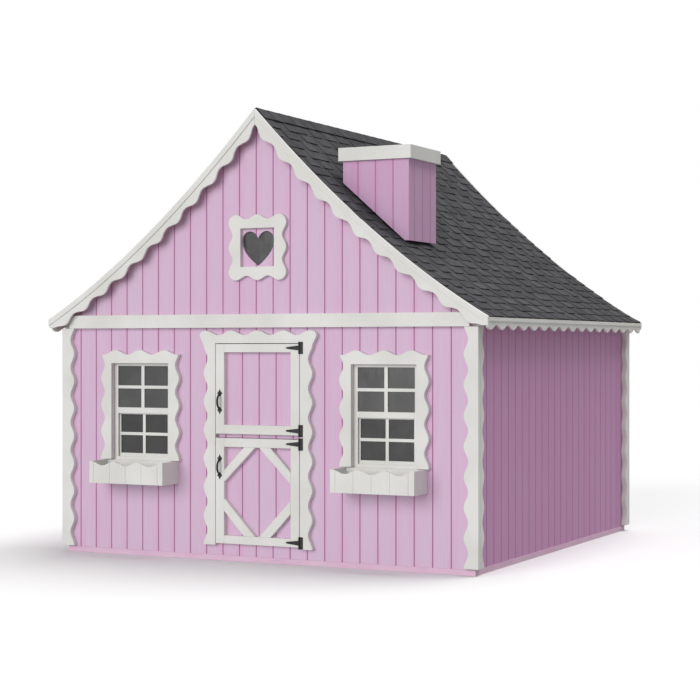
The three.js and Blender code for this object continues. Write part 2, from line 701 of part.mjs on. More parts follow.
function flowerBox() {
  const dips = [];
  for (let i = 0; i <= 6 * WAVE_STEPS / 2; i += 1) {
    const x = -9 * inch + i * (18 * inch) / (6 * WAVE_STEPS / 2);
    dips.push([x, BOX_HIGH - scallop(x, 3 * inch)]);
  }
  const frontOutline = [[-BOX_HALF, BOX_LOW], [BOX_HALF, BOX_LOW], [BOX_HALF, BOX_HIGH],
    ...dips.reverse(), [-BOX_HALF, BOX_HIGH]];
  const section = groovedSection(-BOX_HALF, BOX_HALF, 0);
  const sheet = slab('flat', section, BOX_LOW, BOX_HIGH);
  sheet.translate(0, -BOX_OUT, 0);
  const frontMask = slab('front', frontOutline, -BOX_OUT - 1, -BOX_OUT + SIDING + 1);
  const front = within(sheet, frontMask);
  const roomX = BOX_HALF - BOX_WALL;
  const body = cut(
    block(-BOX_HALF, BOX_HALF, -BOX_OUT + SIDING - 1, -GAP, BOX_LOW, BOX_HIGH),
    block(-roomX, roomX, -BOX_OUT + SIDING, -BOX_WALL, BOX_LOW + BOX_WALL, BOX_HIGH + 5),
  );
  const dipCut = [[-roomX, BOX_HIGH + 5], ...dips.slice().reverse(), [roomX, BOX_HIGH + 5]];
  const lip = slab('front', dipCut, -BOX_OUT + SIDING - 2, -BOX_OUT + SIDING + 0.5);
  return cut(join(front, body), lip);
}

for (const [name, x] of [['left', -WINDOW_X], ['right', WINDOW_X]]) {
  const group = groupAt(x + WINDOW_SHIFT, -HALF_DEPTH, 0);
  place(group, `window_casing_${name}`, slab('front', casingOutline, -TRIM, -GAP), whitePaint);
  place(group, `window_frame_${name}`, windowFrame(), whitePaint);
  const upperPane = rect(-6.5 * inch, 6.5 * inch, 31.1 * inch, 40.95 * inch);
  const upperGlass = slab('front', upperPane, UPPER_BACK + GAP, UPPER_BACK + GAP + PANE);
  place(group, `upper_pane_${name}`, upperGlass, paneGrey);
  place(group, `lower_sash_${name}`, lowerSash(), whitePaint);
  const lowerPane = rect(-6.2 * inch, 6.2 * inch, 21.6 * inch, 30.8 * inch);
  const lowerGlass = slab('front', lowerPane, LOWER_BACK + GAP, LOWER_BACK + GAP + PANE);
  place(group, `lower_pane_${name}`, lowerGlass, paneGrey);
  place(group, `flower_box_${name}`, flowerBox(), whitePaint);
}

// ---------------------------------------------------------------- door
// Door's own coordinates: x from its middle, y inwards from the siding face, z from the ground.
const door = groupAt(DOOR_X, -HALF_DEPTH, 0);
const surroundInner = HINGE_AXIS_X + DOOR_CLEAR / 2;

const SURROUND_EAR = [
  [12.95, 45.3], [13.4, 46.2], [13.75, 46.8], [13.85, 47.35], [13.6, 47.85], [13.15, 48.1],
].map((point) => point.map((value) => value * inch));
const surroundOutline = archTrim({
  inner: surroundInner,
  low: 3.3 * inch,
  openTop: LEAF_HIGH + DOOR_CLEAR,
  side: 12.9 * inch,
  top: 48.25 * inch,
  sideCrest: 39.35 * inch,
  sideWave: WAVE,
  topWave: 6.2 * inch,
  legTop: 44.5 * inch,
  ear: SURROUND_EAR,
  acrossFrom: 12.6 * inch,
});
place(door, 'door_surround', slab('front', surroundOutline, -TRIM, -GAP), whitePaint);

const LEAF_GROOVE = -0.1 * inch;
function leafPanel(low, high) {
  return groovedSheet(-LEAF_HALF, LEAF_HALF, low, high, LEAF_GROOVE);
}
const leafParting = 2.5;
place(door, 'lower_leaf_panel', leafPanel(LEAF_LOW, LEAF_SPLIT), pinkPaint);
place(door, 'upper_leaf_panel', leafPanel(LEAF_SPLIT + leafParting, LEAF_HIGH), pinkPaint);

const upperLight = rect(-LEAF_HALF + LEAF_BOARD, LEAF_HALF - LEAF_BOARD,
  UPPER_RAIL_LOW + 1.9 * inch, LEAF_HIGH - 1.75 * inch);
const upperBoards = rect(-LEAF_HALF, LEAF_HALF, UPPER_RAIL_LOW, LEAF_HIGH);
place(door, 'upper_leaf_frame', slab('front', upperBoards, -TRIM, -GAP, [upperLight]), whitePaint);

// Lower leaf: stiles and rails, with four diagonal braces that leave a diamond in the middle.
const lowerInner = { x: LEAF_HALF - LEAF_BOARD, low: 5.4 * inch, high: 23.93 * inch };
const BRACE_MID = 0.5 * inch;            // half of the flat where two braces meet on a rail
const BRACE_OUTER = 3.15 * inch;         // where a brace's outer edge meets the rail
const DIAMOND = { low: 13.2 * inch, high: 16.6 * inch };
const CORNER_LIGHT = { low: 10.5 * inch, high: 19 * inch };
const diamondHalf = [
  [BRACE_MID, lowerInner.low],
  [lowerInner.x, DIAMOND.low],
  [lowerInner.x, DIAMOND.high],
  [BRACE_MID, lowerInner.high],
];
const diamond = [...diamondHalf, ...mirrored(diamondHalf)];
const cornerLights = [
  [[BRACE_OUTER, lowerInner.high], [lowerInner.x, CORNER_LIGHT.high], [lowerInner.x, lowerInner.high]],
  [[BRACE_OUTER, lowerInner.low], [lowerInner.x, lowerInner.low], [lowerInner.x, CORNER_LIGHT.low]],
];
const lowerHoles = [diamond, ...cornerLights, ...cornerLights.map(mirrored)];
const lowerBoards = rect(-LEAF_HALF, LEAF_HALF, LEAF_LOW, LEAF_SPLIT);
place(door, 'lower_leaf_frame', slab('front', lowerBoards, -TRIM, -GAP, lowerHoles), whitePaint);

// T-hinges: the plate with two knuckles and the pin stays on the surround, the strap swings.
const HINGE_TALL = 2.5 * inch;
const KNUCKLE_GAP = 0.6;
const STRAP_LENGTH = 3.1 * inch;
const STRAP_ROOT = 1.12 * inch;
const STRAP_TIP = 0.35 * inch;
const KNUCKLE_SIDES = 10;

function uprightCylinder(radius, low, high) {
  const geometry = new THREE.CylinderGeometry(radius, radius, high - low, KNUCKLE_SIDES);
  geometry.rotateX(Math.PI / 2);
  geometry.translate(HINGE_AXIS_X, HINGE_AXIS_Y, (low + high) / 2);
  return geometry;
}

function hingePlate() {
  const half = HINGE_TALL / 2;
  const middle = STRAP_ROOT / 2;
  const faceY = -TRIM - GAP;
  const backY = faceY - HINGE_PLATE;
  const plateX = HINGE_AXIS_X + KNUCKLE_RADIUS + KNUCKLE_GAP;
  const plate = block(plateX, HINGE_AXIS_X + 0.82 * inch, backY, faceY, -half, half);
  const leafLow = block(HINGE_AXIS_X, plateX + 1, backY, faceY, -half, -middle);
  const leafHigh = block(HINGE_AXIS_X, plateX + 1, backY, faceY, middle, half);
  return join(
    plate, leafLow, leafHigh,
    uprightCylinder(KNUCKLE_RADIUS, -half, -middle),
    uprightCylinder(KNUCKLE_RADIUS, middle, half),
    uprightCylinder(PIN_RADIUS, -middle - 1, middle + 1),
  );
}

function hingeStrap() {
  const root = STRAP_ROOT / 2 - KNUCKLE_GAP;
  const tip = STRAP_TIP / 2;
  const faceY = -TRIM - GAP;
  const endX = HINGE_AXIS_X - STRAP_LENGTH;
  const outline = [[HINGE_AXIS_X, -root], [HINGE_AXIS_X, root]];
  for (let i = 0; i <= 6; i += 1) {
    const turn = Math.PI / 2 + (Math.PI * i) / 6;
    outline.push([endX + tip + tip * Math.cos(turn), tip * Math.sin(turn)]);
  }
  const strap = slab('front', outline, faceY - HINGE_PLATE, faceY);
  return cut(join(strap, uprightCylinder(KNUCKLE_RADIUS, -root, root)),
    uprightCylinder(PIN_RADIUS + 0.4, -root - 1, root + 1));
}

const HINGES = {
  upper_top: 44.62 * inch,
  upper_bottom: 27.58 * inch,
  lower_top: 24.86 * inch,
  lower_bottom: 4.62 * inch,
};
for (const [name, z] of Object.entries(HINGES)) {
  place(door, `hinge_plate_${name}`, hingePlate(), blackIron).position.z = z;
  place(door, `hinge_strap_${name}`, hingeStrap(), blackIron).position.z = z;
}

// Pull handles: a bowed grip between two spade-shaped feet.
const HANDLE_HALF = 2.68 * inch;
const HANDLE_FOOT = 0.12 * inch;
const HANDLE_OUT = 1.3 * inch;
const HANDLE_ROUND = 5;
const HANDLE_X = -8.9 * inch;
const SPADE_Z = 1.75 * inch;
const SPADE_HALF = 0.57 * inch;

function spade() {
  const low = SPADE_Z - 0.35 * inch;
  return [[-0.18 * inch, low], [0.18 * inch, low], [SPADE_HALF, SPADE_Z], [0.2 * inch, SPADE_Z + 0.4 * inch],
    [0, HANDLE_HALF], [-0.2 * inch, SPADE_Z + 0.4 * inch], [-SPADE_HALF, SPADE_Z]];
}

function pullHandle() {
  const face = -TRIM - GAP;
  const foot = slab('front', spade(), face - HANDLE_FOOT, face);
  const lowFoot = foot.clone().rotateY(Math.PI);
  const reach = face - HANDLE_OUT + 5;
  const bow = new THREE.CatmullRomCurve3([
    new THREE.Vector3(0, face - 3.2, -SPADE_Z),
    new THREE.Vector3(0, face - 0.45 * HANDLE_OUT, -SPADE_Z + 0.28 * inch),
    new THREE.Vector3(0, reach, -0.75 * inch),
    new THREE.Vector3(0, reach, 0.75 * inch),
    new THREE.Vector3(0, face - 0.45 * HANDLE_OUT, SPADE_Z - 0.28 * inch),
    new THREE.Vector3(0, face - 3.2, SPADE_Z),
  ]);
  const round = new THREE.Shape();
  round.absarc(0, 0, HANDLE_ROUND, 0, 2 * Math.PI);
  const grip = new THREE.ExtrudeGeometry(round, { steps: 14, curveSegments: 4, extrudePath: bow });
  return join(foot, lowFoot, grip);
}

for (const [name, z] of [['upper', 33.37 * inch], ['lower', 19.7 * inch]]) {
  place(door, `pull_handle_${name}`, pullHandle(), blackIron).position.set(HANDLE_X, 0, z);
}

// ---------------------------------------------------------------- heart light
const HEART_TRIM_HALF = 6.85 * inch;
const HEART_TRIM_THICK = 0.9 * inch;
const HEART_OPENING = 3.98 * inch;
const HEART_PANE_HALF = 4.4 * inch;
const HEART_WAVE = 5.1 * inch;

// One side of the square trim, from one corner to just before the next, turned a quarter each time.
function heartTrimOutline() {
  const outline = [];
  for (let quarter = 0; quarter < 4; quarter += 1) {
    const cos = Math.cos((quarter * Math.PI) / 2);
    const sin = Math.sin((quarter * Math.PI) / 2);
    const reach = HEART_TRIM_HALF - 0.75 * inch;
    for (const u of steps(-reach, reach, HEART_WAVE)) {
      const v = -HEART_TRIM_HALF + scallop(u, 0, HEART_WAVE);
      outline.push([u * cos - v * sin, u * sin + v * cos]);
    }
  }
  return outline;
}

const heart = groupAt(HEART_X, -HALF_DEPTH, HEART_Z);
const heartSquare = rect(-HEART_OPENING, HEART_OPENING, -HEART_OPENING, HEART_OPENING);
const heartTrim = slab('front', heartTrimOutline(), -HEART_TRIM_THICK, -GAP, [heartSquare]);
place(heart, 'heart_trim', heartTrim, whitePaint);
const heartPane = rect(-HEART_PANE_HALF, HEART_PANE_HALF, -HEART_PANE_HALF, HEART_PANE_HALF);
place(heart, 'heart_pane', slab('front', heartPane, SIDING + GAP, SIDING + GAP + PANE + 1), paneGrey);

export default playhouse;
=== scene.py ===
"""A painted wooden cottage playhouse: smooth scalloped trim, laminated shingles, board-built
door leaves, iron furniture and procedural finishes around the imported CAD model."""

import math
import random

import bmesh
import bpy
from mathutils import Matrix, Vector


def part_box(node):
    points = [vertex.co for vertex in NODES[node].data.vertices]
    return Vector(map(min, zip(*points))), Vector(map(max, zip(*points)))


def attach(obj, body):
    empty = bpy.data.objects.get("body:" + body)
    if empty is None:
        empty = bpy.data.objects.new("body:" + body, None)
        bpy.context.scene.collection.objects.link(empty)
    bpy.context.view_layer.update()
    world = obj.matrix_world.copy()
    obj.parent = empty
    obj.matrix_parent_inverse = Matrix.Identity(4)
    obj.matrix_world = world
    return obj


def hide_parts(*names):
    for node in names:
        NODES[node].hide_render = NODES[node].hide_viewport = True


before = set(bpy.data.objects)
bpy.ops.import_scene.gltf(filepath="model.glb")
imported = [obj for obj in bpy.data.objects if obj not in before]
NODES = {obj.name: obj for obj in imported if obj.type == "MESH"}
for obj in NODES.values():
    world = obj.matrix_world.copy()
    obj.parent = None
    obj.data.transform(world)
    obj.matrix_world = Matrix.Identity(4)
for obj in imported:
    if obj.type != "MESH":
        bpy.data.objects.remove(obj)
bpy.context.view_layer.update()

# ------------------------------------------------------------------ driving dimensions, metres
INCH = 0.0254
GAP = 0.0003
HALF_WIDTH = 48.05 * INCH
HALF_DEPTH = 48 * INCH
TRIM = 1.15 * INCH
WAVE = 6 * INCH
WAVE_DEPTH = 0.95 * INCH
WAVE_STEPS = 16
CORNER_X = HALF_WIDTH + TRIM
BAND_LOW = 48.85 * INCH
RIDGE_TOP = 94.4 * INCH
ROOF_PITCH = 1.095
ROOF_FLARE = 0.1957
EAVE_X = 51.8 * INCH
RAKE_Y = 50.7 * INCH
RAKE_THICK = 0.8 * INCH
SHINGLE = 0.009
DOOR_X = -0.2 * INCH
LEAF_HALF = 9.9 * INCH
LEAF_TOP = 45.45 * INCH
WINDOW_HALF = 7.2 * INCH
WINDOWS = {"left": -29.08 * INCH, "right": 28.72 * INCH}
DOOR_CLEAR = 0.0032
SEED = 7

# edge roundings, metres
EDGE = 0.0022
BAND_EDGE = 0.002
STRIP_EDGE = 0.0015
FINE_EDGE = 0.0012
PULL_EDGE = 0.0009
IRON_EDGE = 0.0006
SHARP_ANGLE = math.radians(32)
BEVEL_ANGLE = math.radians(38)
FLAT_ANGLE = math.radians(1)


# ------------------------------------------------------------------ shape helpers
def scallop(s, crest, pitch=WAVE):
    """Depth of a scalloped edge behind its crest line at position s."""
    return WAVE_DEPTH * (1 - math.cos(2 * math.pi * (s - crest) / pitch)) / 2


def steps(start, end, pitch=WAVE):
    """Even positions from start to end, WAVE_STEPS to each pitch."""
    count = max(2, round(abs(end - start) / pitch * WAVE_STEPS))
    return [start + (end - start) * i / count for i in range(count + 1)]


def roof_top(x):
    """Height of the roof curve at a distance x from the ridge."""
    return RIDGE_TOP - ROOF_PITCH * x + ROOF_FLARE * x * x


def roof_turn(x):
    """Angle of the roof curve below level at x."""
    return math.atan(ROOF_PITCH - 2 * ROOF_FLARE * x)


def roof_under(x, depth):
    """Height at x of the surface that lies a depth below the roof curve."""
    foot = x
    for _ in range(20):
        foot = x + depth * math.sin(roof_turn(foot))
    return roof_top(foot) - depth * math.cos(roof_turn(foot))


def roof_table(count=400):
    """Pairs of x and length along the roof curve from the ridge."""
    pairs = [(0.0, 0.0)]
    reach = EAVE_X * 1.1
    for i in range(1, count + 1):
        x = reach * i / count
        last_x, last_run = pairs[-1]
        pairs.append((x, last_run + math.hypot(x - last_x, roof_top(x) - roof_top(last_x))))
    return pairs


ROOF_RUNS = roof_table()
ROOF_LENGTH = next(run for x, run in ROOF_RUNS if x >= EAVE_X)


def roof_run(x):
    """Length along the roof curve from the ridge out to x."""
    return next((run for px, run in ROOF_RUNS if px >= x), ROOF_RUNS[-1][1])


def roof_x(run):
    """Where along x the roof curve has that length from the ridge."""
    for (x0, r0), (x1, r1) in zip(ROOF_RUNS, ROOF_RUNS[1:]):
        if r1 >= run:
            return x0 + (x1 - x0) * (run - r0) / (r1 - r0)
    return ROOF_RUNS[-1][0]


def mirrored(points):
    """The points on the other side of the middle, in reverse order."""
    return [(-u, v) for u, v in reversed(points)]


def rect(u0, u1, v0, v1):
    return [(u0, v0), (u1, v0), (u1, v1), (u0, v1)]


PLANES = {
    "front": lambda u, v, w: (u, w, v),
    "side": lambda u, v, w: (w, u, v),
    "flat": lambda u, v, w: (u, v, w),
}


# ------------------------------------------------------------------ object helpers
def link(name, verts, faces, material, smooth=True):
    mesh = bpy.data.meshes.new(name)
    mesh.from_pydata([tuple(v) for v in verts], [], faces)
    mesh.validate()
    mesh.update()
    if smooth:
        mesh.polygons.foreach_set("use_smooth", [True] * len(mesh.polygons))
        mesh.set_sharp_from_angle(angle=SHARP_ANGLE)
    mesh.materials.append(material)
    piece = bpy.data.objects.new(name, mesh)
    bpy.context.scene.collection.objects.link(piece)
    return piece


def fix_normals(piece):
    work = bmesh.new()
    work.from_mesh(piece.data)
    bmesh.ops.recalc_face_normals(work, faces=work.faces)
    work.to_mesh(piece.data)
    work.free()


def rounded(piece, width, segments=2):
    bevel = piece.modifiers.new("edges", "BEVEL")
    bevel.width = width
    bevel.segments = segments
    bevel.limit_method = "ANGLE"
    bevel.angle_limit = BEVEL_ANGLE
    bevel.harden_normals = True
    return piece


def plank(name, outline, plane, low, high, material, edge=EDGE, shift=(0, 0, 0)):
    """A flat board: the outline on a plane, between low and high, with eased edges."""
    place = PLANES[plane]
    count = len(outline)
    verts = [Vector(place(u, v, low)) + Vector(shift) for u, v in outline]
    verts += [Vector(place(u, v, high)) + Vector(shift) for u, v in outline]
    faces = [list(range(count)), list(range(2 * count - 1, count - 1, -1))]
    faces += [[i, (i + 1) % count, (i + 1) % count + count, i + count] for i in range(count)]
    piece = link(name, verts, faces, material)
    fix_normals(piece)
    return rounded(piece, edge) if edge else piece


def framed_plank(name, outer, inner, plane, low, high, material, edge=EDGE, shift=(0, 0, 0)):
    """A board with one opening; outer and inner have the same number of points, in step."""
    place = PLANES[plane]
    count = len(outer)
    rings = []
    for points, w in ((outer, low), (inner, low), (inner, high), (outer, high)):
        rings.append([Vector(place(u, v, w)) + Vector(shift) for u, v in points])
    verts = [v for ring in rings for v in ring]
    faces = []
    for ring in range(4):
        a, b = ring * count, ((ring + 1) % 4) * count
        faces += [[a + i, a + (i + 1) % count, b + (i + 1) % count, b + i] for i in range(count)]
    piece = link(name, verts, faces, material)
    fix_normals(piece)
    return rounded(piece, edge) if edge else piece


def settle(piece, body, slot, *nodes):
    """Give a piece its body and hide the CAD nodes it stands in for; the slot is not used."""
    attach(piece, body)
    if nodes:
        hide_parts(*nodes)
    return piece


# ------------------------------------------------------------------ materials
class Nodes:
    """Short calls that add shader nodes and wire them."""

    def __init__(self, name):
        self.material = bpy.data.materials.new(name)
        self.material.use_nodes = True
        self.tree = self.material.node_tree
        self.shader = self.tree.nodes["Principled BSDF"]
        self.coords = self.tree.nodes.new("ShaderNodeTexCoord").outputs["Object"]

    def join(self, source, target):
        self.tree.links.new(source, target)

    def feed(self, value, socket):
        """Wire a node's output into the socket, or set a plain value on it."""
        if hasattr(value, "links"):
            self.join(value, socket)
        else:
            socket.default_value = value

    def set(self, **values):
        for key, value in values.items():
            self.shader.inputs[key.replace("_", " ")].default_value = value

    def scaled(self, scale, source=None):
        mapping = self.tree.nodes.new("ShaderNodeMapping")
        mapping.inputs["Scale"].default_value = scale
        self.join(source or self.coords, mapping.inputs["Vector"])
        return mapping.outputs["Vector"]

    def noise(self, vector, scale, detail=3.0, rough=0.55):
        node = self.tree.nodes.new("ShaderNodeTexNoise")
        node.inputs["Scale"].default_value = scale
        node.inputs["Detail"].default_value = detail
        node.inputs["Roughness"].default_value = rough
        self.join(vector, node.inputs["Vector"])
        return node.outputs["Fac"]

    def ramp(self, value, stops):
        node = self.tree.nodes.new("ShaderNodeValToRGB")
        ramp = node.color_ramp
        while len(ramp.elements) < len(stops):
            ramp.elements.new(0.5)
        for element, (at, color) in zip(ramp.elements, stops):
            element.position = at
            element.color = (*color, 1) if len(color) == 3 else color
        self.join(value, node.inputs["Fac"])
        return node.outputs["Color"]

    def mix(self, factor, a, b, blend="MIX"):
        node = self.tree.nodes.new("ShaderNodeMix")
        node.data_type = "RGBA"
        node.blend_type = blend
        for value, socket in ((factor, node.inputs[0]), (a, node.inputs[6]), (b, node.inputs[7])):
            self.feed(value, socket)
        return node.outputs[2]

    def math(self, operation, a, b=0.0):
        node = self.tree.nodes.new("ShaderNodeMath")
        node.operation = operation
        for value, socket in ((a, node.inputs[0]), (b, node.inputs[1])):
            self.feed(value, socket)
        return node.outputs[0]

    def part(self, axis, source=None):
        node = self.tree.nodes.new("ShaderNodeSeparateXYZ")
        self.join(source or self.coords, node.inputs[0])
        return node.outputs[axis]

    def random(self, value):
        node = self.tree.nodes.new("ShaderNodeTexWhiteNoise")
        node.noise_dimensions = "1D"
        self.join(value, node.inputs["W"])
        return node.outputs["Value"]

    def bump(self, height, strength, distance):
        node = self.tree.nodes.new("ShaderNodeBump")
        node.inputs["Strength"].default_value = strength
        node.inputs["Distance"].default_value = distance
        self.join(height, node.inputs["Height"])
        self.join(node.outputs["Normal"], self.shader.inputs["Normal"])

    def base_color(self, source):
        self.join(source, self.shader.inputs["Base Color"])

    def roughness(self, value, *stops):
        """Roughness read from a value through stops of (position, level)."""
        grey = [(at, (level, level, level)) for at, level in stops]
        self.join(self.ramp(value, grey), self.shader.inputs["Roughness"])


def linear(r, g, b):
    """Display colour in 0..255 to the linear values a shader takes."""
    return tuple(((c / 255 + 0.055) / 1.055) ** 2.4 if c > 10 else c / 255 / 12.92 for c in (r, g, b))


BOARD_PITCH = 4 * INCH
PAINT_WEAR = [(0.34, (0.90, 0.85, 0.89)), (0.52, (1, 1, 1))]


def siding_paint(name, base, *lines):
    """Pink-lilac paint on pressed grain. Each line is the axis across the boards (0 for X, 1 for Y)
    and the place of one groove; a second line serves the faces turned to X."""
    n = Nodes(name)
    boards = [n.math("DIVIDE", n.math("SUBTRACT", n.part(axis), at), BOARD_PITCH) for axis, at in lines]
    if len(boards) > 1:
        normal = n.tree.nodes.new("ShaderNodeNewGeometry").outputs["Normal"]
        turned = n.math("GREATER_THAN", n.math("ABSOLUTE", n.part(0, normal)), 0.7)
        apart = n.math("SUBTRACT", boards[1], boards[0])
        boards[0] = n.math("ADD", boards[0], n.math("MULTIPLY", turned, apart))
    tone = n.random(n.math("FLOOR", boards[0]))
    edge = n.math("ABSOLUTE", n.math("SUBTRACT", n.math("FRACT", boards[0]), 0.5))
    blotch = n.noise(n.scaled((6, 6, 0.8)), 2.2, 3.0, 0.6)
    streak = n.noise(n.scaled((90, 90, 1.6)), 2.2, 4.0, 0.7)
    shade = n.math("ADD", n.math("MULTIPLY", blotch, 0.5), n.math("MULTIPLY", streak, 0.5))
    shade = n.math("ADD", shade, n.math("MULTIPLY", n.math("SUBTRACT", tone, 0.5), 0.1))
    shade = n.math("SUBTRACT", shade, n.math("MULTIPLY", n.math("SUBTRACT", edge, 0.25), 0.28))
    rosy = tuple(value * part for value, part in zip(base, (1.01, 0.93, 0.975)))
    cool = tuple(min(1, value * part) for value, part in zip(base, (0.98, 1.05, 1.02)))
    color = n.ramp(shade, [(0.38, rosy), (0.5, base), (0.62, cool)])
    grain = n.noise(n.scaled((260, 260, 4.0)), 1.6, 5.0, 0.75)
    worn = n.ramp(grain, PAINT_WEAR)
    color = n.mix(0.6, color, worn, "MULTIPLY")
    # The groove lines are a dark pink: painted shade inside the grooves.
    groove = n.ramp(edge, [(0.468, (0, 0, 0)), (0.482, (1, 1, 1))])
    n.base_color(n.mix(groove, color, (*GROOVE_SHADE_PINK, 1)))
    n.roughness(streak, (0.3, 0.5), (0.7, 0.66))
    n.bump(grain, 0.5, 0.0012)
    return n.material


def sill_paint():
    """The same paint on the boards that lie along the ground: rosier, and a little lighter as painted
    light from above.
    """
    n = Nodes("siding_paint_sill_painted_light")
    grain = n.noise(n.scaled((4, 4, 150)), 1.8, 4.0, 0.7)
    cloud = n.noise(n.coords, 4.0, 3.0, 0.55)
    # Both stops are rosier than the wall pink and a little lighter; the extra lightness is painted light
    # from above.
    color = n.ramp(cloud, [(0.35, linear(226, 186, 212)), (0.65, linear(231, 196, 219))])
    worn = n.ramp(grain, PAINT_WEAR)
    n.base_color(n.mix(0.6, color, worn, "MULTIPLY"))
    n.roughness(grain, (0.3, 0.46), (0.7, 0.62))
    n.bump(grain, 0.4, 0.001)
    return n.material


def trim_paint():
    """Warm white paint, brushed on smooth boards."""
    n = Nodes("trim_paint")
    brush = n.noise(n.scaled((55, 55, 4)), 3.0, 4.0, 0.6)
    cloud = n.noise(n.coords, 3.5, 2.0, 0.5)
    color = n.ramp(cloud, [(0.35, linear(226, 225, 220)), (0.65, linear(236, 235, 232))])
    fleck = n.ramp(brush, [(0.28, (0.94, 0.94, 0.925)), (0.5, (1, 1, 1))])
    n.base_color(n.mix(0.7, color, fleck, "MULTIPLY"))
    n.roughness(brush, (0.3, 0.42), (0.7, 0.56))
    n.bump(brush, 0.25, 0.0006)
    return n.material


def bare_wood(name, pale, dark, ring_scale):
    """Planed softwood or sheet: rings pulled out along Z, with fine pores."""
    n = Nodes(name)
    warp = n.noise(n.scaled((1.5, 1.5, 1.5)), 2.0, 2.0)
    pulled = n.scaled((ring_scale, ring_scale, ring_scale * 0.08))
    rings = n.noise(pulled, 1.0, 4.0, 0.6)
    value = n.math("ADD", n.math("MULTIPLY", rings, 0.8), n.math("MULTIPLY", warp, 0.3))
    late = tuple(c * 0.86 for c in pale)
    n.base_color(n.ramp(value, [(0.35, dark), (0.52, pale), (0.7, late)]))
    pores = n.noise(n.scaled((400, 400, 14)), 1.0, 3.0)
    n.set(Roughness=0.72)
    n.bump(pores, 0.4, 0.0008)
    return n.material


def shingle_granules():
    """Charcoal mineral granules in patches; each strip and tab has its own tone."""
    n = Nodes("shingle_granules")
    attribute = n.tree.nodes.new("ShaderNodeAttribute")
    attribute.attribute_name = "tone"
    tone = attribute.outputs["Fac"]
    granule = n.noise(n.coords, 420.0, 2.0, 0.8)
    patch = n.noise(n.scaled((1, 1, 1)), 16.0, 4.0, 0.65)
    value = n.math("ADD", n.math("MULTIPLY", tone, 0.2), n.math("MULTIPLY", patch, 0.6))
    value = n.math("ADD", value, n.math("MULTIPLY", n.math("SUBTRACT", granule, 0.5), 0.9))
    n.base_color(n.ramp(value, [
        (0.12, linear(44, 44, 46)),
        (0.45, linear(76, 76, 79)),
        (0.62, linear(92, 92, 95)),
        (0.95, linear(132, 131, 132)),
    ]))
    n.set(Roughness=0.95, Specular_IOR_Level=0.25)
    n.bump(granule, 0.8, 0.0015)
    return n.material


def dark_glass(name, low, high):
    """A solid dark pane, a little dusty; low and high are its greys in 0..255."""
    n = Nodes(name)
    haze = n.noise(n.coords, 9.0, 3.0, 0.5)
    n.base_color(n.ramp(haze, [(0.3, linear(low, low, low)), (0.7, linear(high, high, high))]))
    smear = n.noise(n.scaled((14, 14, 5)), 3.0, 3.0, 0.6)
    n.roughness(smear, (0.35, 0.10), (0.75, 0.22))
    n.bump(n.noise(n.coords, 4.0, 1.0), 0.08, 0.001)
    return n.material


def black_iron():
    """Black painted iron, a little worn."""
    n = Nodes("black_iron")
    fleck = n.noise(n.coords, 700.0, 2.0, 0.6)
    wear = n.noise(n.coords, 60.0, 4.0, 0.7)
    n.base_color(n.ramp(wear, [(0.4, linear(11, 11, 12)), (0.75, linear(30, 29, 29))]))
    n.roughness(wear, (0.35, 0.38), (0.7, 0.58))
    n.set(Metallic=0.1)
    n.bump(fleck, 0.35, 0.0004)
    return n.material


FRONT_PINK = linear(223, 189, 217)
# The side walls get a darker, more saturated copy of the front pink: painted shade on the walls beside the
# front.
SHADED_SIDE_PINK = linear(206, 150, 194)
# Dark groove pink: painted shade inside the grooves.
GROOVE_SHADE_PINK = linear(176, 112, 158)
CHIMNEY_LOW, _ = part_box("chimney_body")
PINK_FRONT = siding_paint("siding_paint_front", FRONT_PINK, (0, -1 * INCH))
PINK_LEAF = siding_paint("siding_paint_leaf", FRONT_PINK, (0, DOOR_X - 0.1 * INCH))
PINK_SIDE_PAINTED_SHADE = siding_paint("siding_paint_side_painted_shade", SHADED_SIDE_PINK, (1, 2 * INCH))
# The chimney pink is darker than the front pink: painted shade from the roof around the chimney.
PINK_CHIMNEY_PAINTED_SHADE = siding_paint("siding_paint_chimney_painted_shade", linear(214, 170, 206),
                            (0, CHIMNEY_LOW.x + 3.45 * INCH), (1, CHIMNEY_LOW.y + 2.9 * INCH))
PINK_SILL_PAINTED_LIGHT = sill_paint()
WHITE = trim_paint()
TIMBER = bare_wood("frame_timber", linear(214, 178, 132), linear(178, 132, 84), 22)
SHEET = bare_wood("sheet_wood", linear(200, 166, 122), linear(160, 122, 80), 9)
GRANULES = shingle_granules()
# The same glass in two greys: the lighter grey on the upper panes and the heart pane is a painted
# reflection of the bright sky, and the darker grey on the lower panes is painted shade.
PANE_PAINTED_REFLECTION = dark_glass("dark_pane_painted_reflection", 74, 86)
PANE_PAINTED_SHADE = dark_glass("dark_pane_painted_shade", 50, 62)
IRON = black_iron()


# ------------------------------------------------------------------ carried-over CAD nodes
def finish_node(name, material, edge=0.0):
    """Give a CAD node its material; with an edge width, merge its flat faces and round its corners."""
    node = NODES[name]
    node.data.materials.clear()
    node.data.materials.append(material)
    if edge:
        flat = node.modifiers.new("planar", "DECIMATE")
        flat.decimate_type = "DISSOLVE"
        flat.angle_limit = FLAT_ANGLE
        rounded(node, edge)


for node_name in ("siding_front", "siding_back", "gable_siding_front", "gable_siding_back"):
    finish_node(node_name, PINK_FRONT)
for node_name in ("upper_leaf_panel", "lower_leaf_panel"):
    finish_node(node_name, PINK_LEAF)
# Painted shade: the chimney takes the darker chimney pink.
finish_node("chimney_body", PINK_CHIMNEY_PAINTED_SHADE)
# The sill paint is partly painted light from above.
finish_node("base_sill", PINK_SILL_PAINTED_LIGHT)
